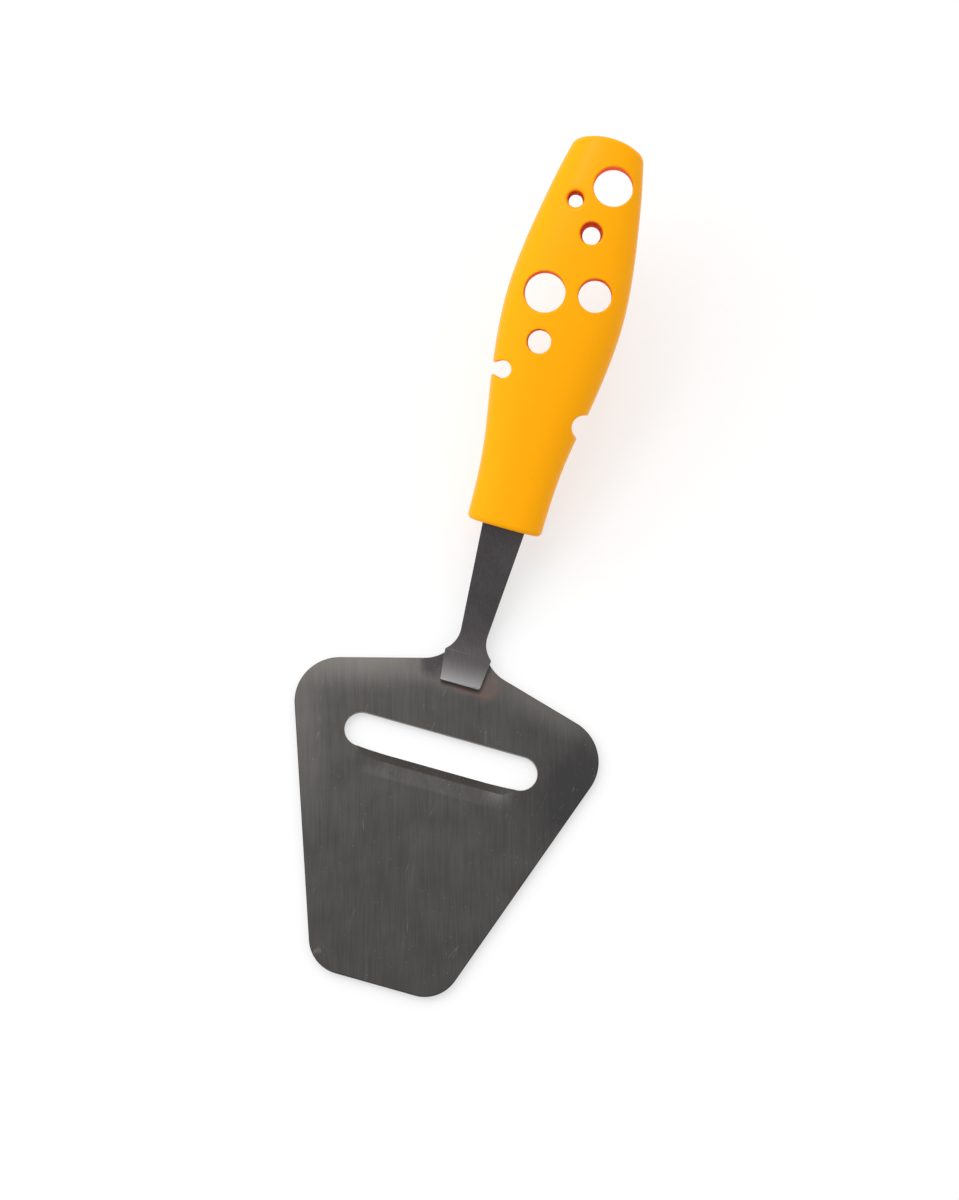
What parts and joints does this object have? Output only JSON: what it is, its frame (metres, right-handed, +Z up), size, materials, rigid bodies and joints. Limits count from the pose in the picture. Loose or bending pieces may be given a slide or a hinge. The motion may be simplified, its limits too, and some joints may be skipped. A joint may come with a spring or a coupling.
{
  "type": "cheese slicer",
  "caption": "Hand cheese slicer: slotted kite-shaped steel blade with a ground lip, waisted steel shank and oval plastic handle with round through-holes.",
  "frame": {"origin": "on the blade's flat sole, halfway along the blade on its centre line", "axes": "+Z up out of the blade's top face, +Y from the blade's tip towards the handle's butt, X across the blade"},
  "size_m": [0.0862, 0.2361, 0.0526],
  "materials": {
    "blade_steel": "brushed along the blade, dark stainless",
    "shank_steel": "brushed along the strip, heat-tinted at the weld",
    "weld_steel": "fused spot weld",
    "handle_plastic": "fine spark-eroded satin texture"
  },
  "bodies": {
    "root": {"blade_plate": "blade_steel", "shank": "shank_steel", "weld_nuggets": "weld_steel", "handle": "handle_plastic"}
  },
  "joints": []
}
